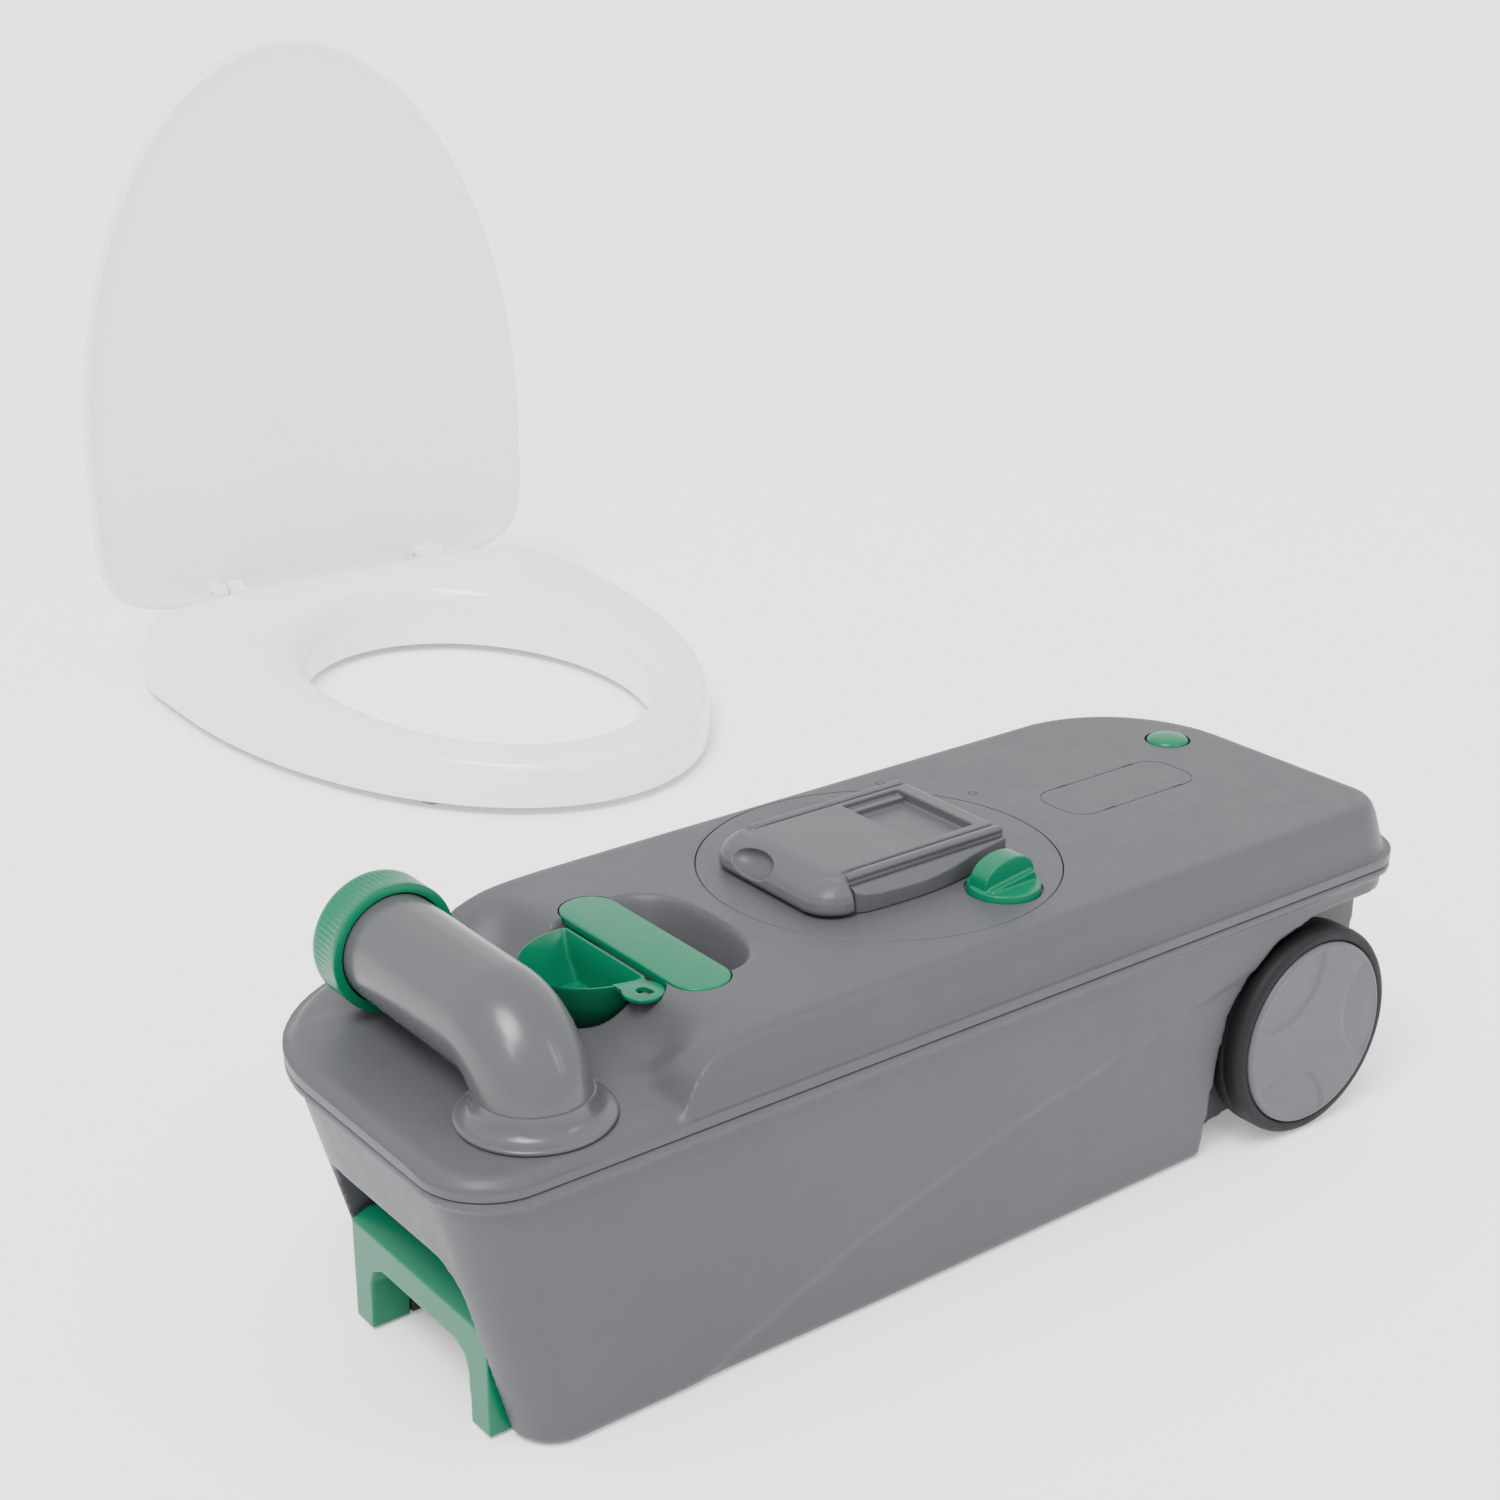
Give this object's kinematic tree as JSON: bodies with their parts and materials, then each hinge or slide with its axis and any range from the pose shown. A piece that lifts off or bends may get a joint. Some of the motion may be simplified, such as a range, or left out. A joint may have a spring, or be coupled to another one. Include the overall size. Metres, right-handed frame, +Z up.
{
  "type": "cassette toilet",
  "caption": "Wheeled waste-holding cassette with swivelling pour-out spout, sliding inlet cover, pull handle and measuring cup, with its separate toilet seat and lid.",
  "frame": {"origin": "middle of the mechanism disc's axis in X, the tank's centre plane in Y, on the flat bottom of the tank", "axes": "+Z up, +X from the pour-out spout end towards the wheels, +Y from the knob side towards the side the stowed spout points to; the seat lies on the +Y side"},
  "size_m": [0.7641, 1.1967, 0.5357],
  "materials": {
    "grey_shell": "fine-textured grey polyethylene",
    "grey_cover": "satin grey plastic",
    "dark_plastic": "dark grey moulded plastic",
    "green_plastic": "glossy green plastic",
    "white_plastic": "glossy off-white plastic",
    "hub_grey": "satin grey plastic with a stepped disc",
    "tyre_black": "black soft plastic tyre",
    "seal_rubber": "dark grey sealing rubber",
    "steel": "bright steel",
    "pale_foam": "closed hollow float"
  },
  "bodies": {
    "tank": {"tank_lower_shell": "grey_shell", "tank_upper_shell": "grey_shell", "carry_grip": "green_plastic", "mechanism_disc": "grey_cover", "disc_seal": "seal_rubber", "lip_seal": "seal_rubber", "cover_rail_near": "grey_cover", "cover_rail_far": "grey_cover", "blade_guide_near": "dark_plastic", "blade_guide_far": "dark_plastic", "knob_o_ring": "seal_rubber", "vent_sleeve": "dark_plastic", "vent_spring": "steel", "float_bracket": "dark_plastic", "float_pin": "steel", "spout_collar": "dark_plastic", "spout_o_ring": "seal_rubber", "handle_guide_front": "dark_plastic", "handle_guide_rear": "dark_plastic", "stub_axle_near": "steel", "stub_axle_far": "steel"},
    "cup": {"measuring_cup": "green_plastic"},
    "cover": {"sliding_cover": "grey_cover"},
    "blade": {"valve_blade": "dark_plastic"},
    "knob": {"valve_knob": "green_plastic", "knob_shaft": "dark_plastic", "crank_arm": "dark_plastic"},
    "vent": {"vent_button": "green_plastic", "vent_stem": "dark_plastic", "vent_seal": "seal_rubber"},
    "level_float": {"float_arm": "dark_plastic", "float_body": "pale_foam"},
    "elbow": {"spout_elbow": "grey_cover"},
    "cap_thread": {"cap_gasket": "seal_rubber"},
    "cap": {"spout_cap": "green_plastic"},
    "handle": {"pull_handle": "green_plastic", "handle_arm_near": "dark_plastic", "handle_arm_far": "dark_plastic"},
    "wheel_near": {"wheel_tyre_near": "tyre_black", "wheel_rim_near": "dark_plastic", "wheel_cap_near": "hub_grey"},
    "wheel_far": {"wheel_tyre_far": "tyre_black", "wheel_rim_far": "dark_plastic", "wheel_cap_far": "hub_grey"},
    "seat": {"seat_ring": "white_plastic", "hinge_pin_left": "steel", "hinge_pin_right": "steel", "seat_buffer_back_left": "seal_rubber", "seat_buffer_back_right": "seal_rubber", "seat_buffer_front_left": "seal_rubber", "seat_buffer_front_right": "seal_rubber"},
    "lid": {"seat_lid": "white_plastic"}
  },
  "joints": [
    {"name": "cup_lift", "type": "slide", "parent": "tank", "child": "cup", "axis": [0, 0, 1], "range_m": [0, 0.06]},
    {"name": "cover_slide", "type": "slide", "parent": "tank", "child": "cover", "axis": [-1, 0, 0], "range_m": [0, 0.09]},
    {"name": "knob_turn", "type": "hinge", "parent": "tank", "child": "knob", "pos_m": [0.03, -0.064, 0.189], "axis": [0, 0, -1], "range_deg": [0, 90]},
    {"name": "blade_slide", "type": "slide", "parent": "tank", "child": "blade", "axis": [1, 0, 0], "range_m": [0, 0.0849]},
    {"name": "vent_press", "type": "slide", "parent": "tank", "child": "vent", "axis": [0, 0, -1], "range_m": [0, 0.004], "stiffness_N_per_m": 900, "springref_m": -0.002, "deforming": ["vent_spring"]},
    {"name": "float_swing", "type": "hinge", "parent": "tank", "child": "level_float", "pos_m": [0.18, -0.02, 0.174], "axis": [0, 1, 0], "range_deg": [0, 28]},
    {"name": "spout_swivel", "type": "hinge", "parent": "tank", "child": "elbow", "pos_m": [-0.273, -0.075, 0.162], "axis": [0, 0, 1], "range_deg": [0, 180]},
    {"name": "cap_travel", "type": "slide", "parent": "elbow", "child": "cap_thread", "axis": [0, 1, 0], "range_m": [0, 0.0151]},
    {"name": "cap_turn", "type": "hinge", "parent": "cap_thread", "child": "cap", "pos_m": [-0.273, 0.066, 0.1985], "axis": [0, 1, 0], "range_deg": [0, 540]},
    {"name": "handle_pull", "type": "slide", "parent": "tank", "child": "handle", "axis": [-1, 0, 0], "range_m": [0, 0.29]},
    {"name": "wheel_spin_near", "type": "hinge", "parent": "tank", "child": "wheel_near", "pos_m": [0.225, -0.111, 0.0642], "axis": [0, 1, 0], "continuous": true},
    {"name": "wheel_spin_far", "type": "hinge", "parent": "tank", "child": "wheel_far", "pos_m": [0.225, 0.111, 0.0642], "axis": [0, 1, 0], "continuous": true},
    {"name": "seat_lift", "type": "slide", "parent": "tank", "child": "seat", "axis": [0, 0, 1], "range_m": [0, 0.1]},
    {"name": "lid_close", "type": "hinge", "parent": "seat", "child": "lid", "pos_m": [0.20865, 1.04086, 0.06], "axis": [0.9995, -0.0332, 0], "range_deg": [0, 93]}
  ],
  "couplings": [
    {"joint": "blade_slide", "follows": "knob_turn", "m_per_rad": 0.05402},
    {"joint": "cap_travel", "follows": "cap_turn", "m_per_rad": 0.001595}
  ]
}
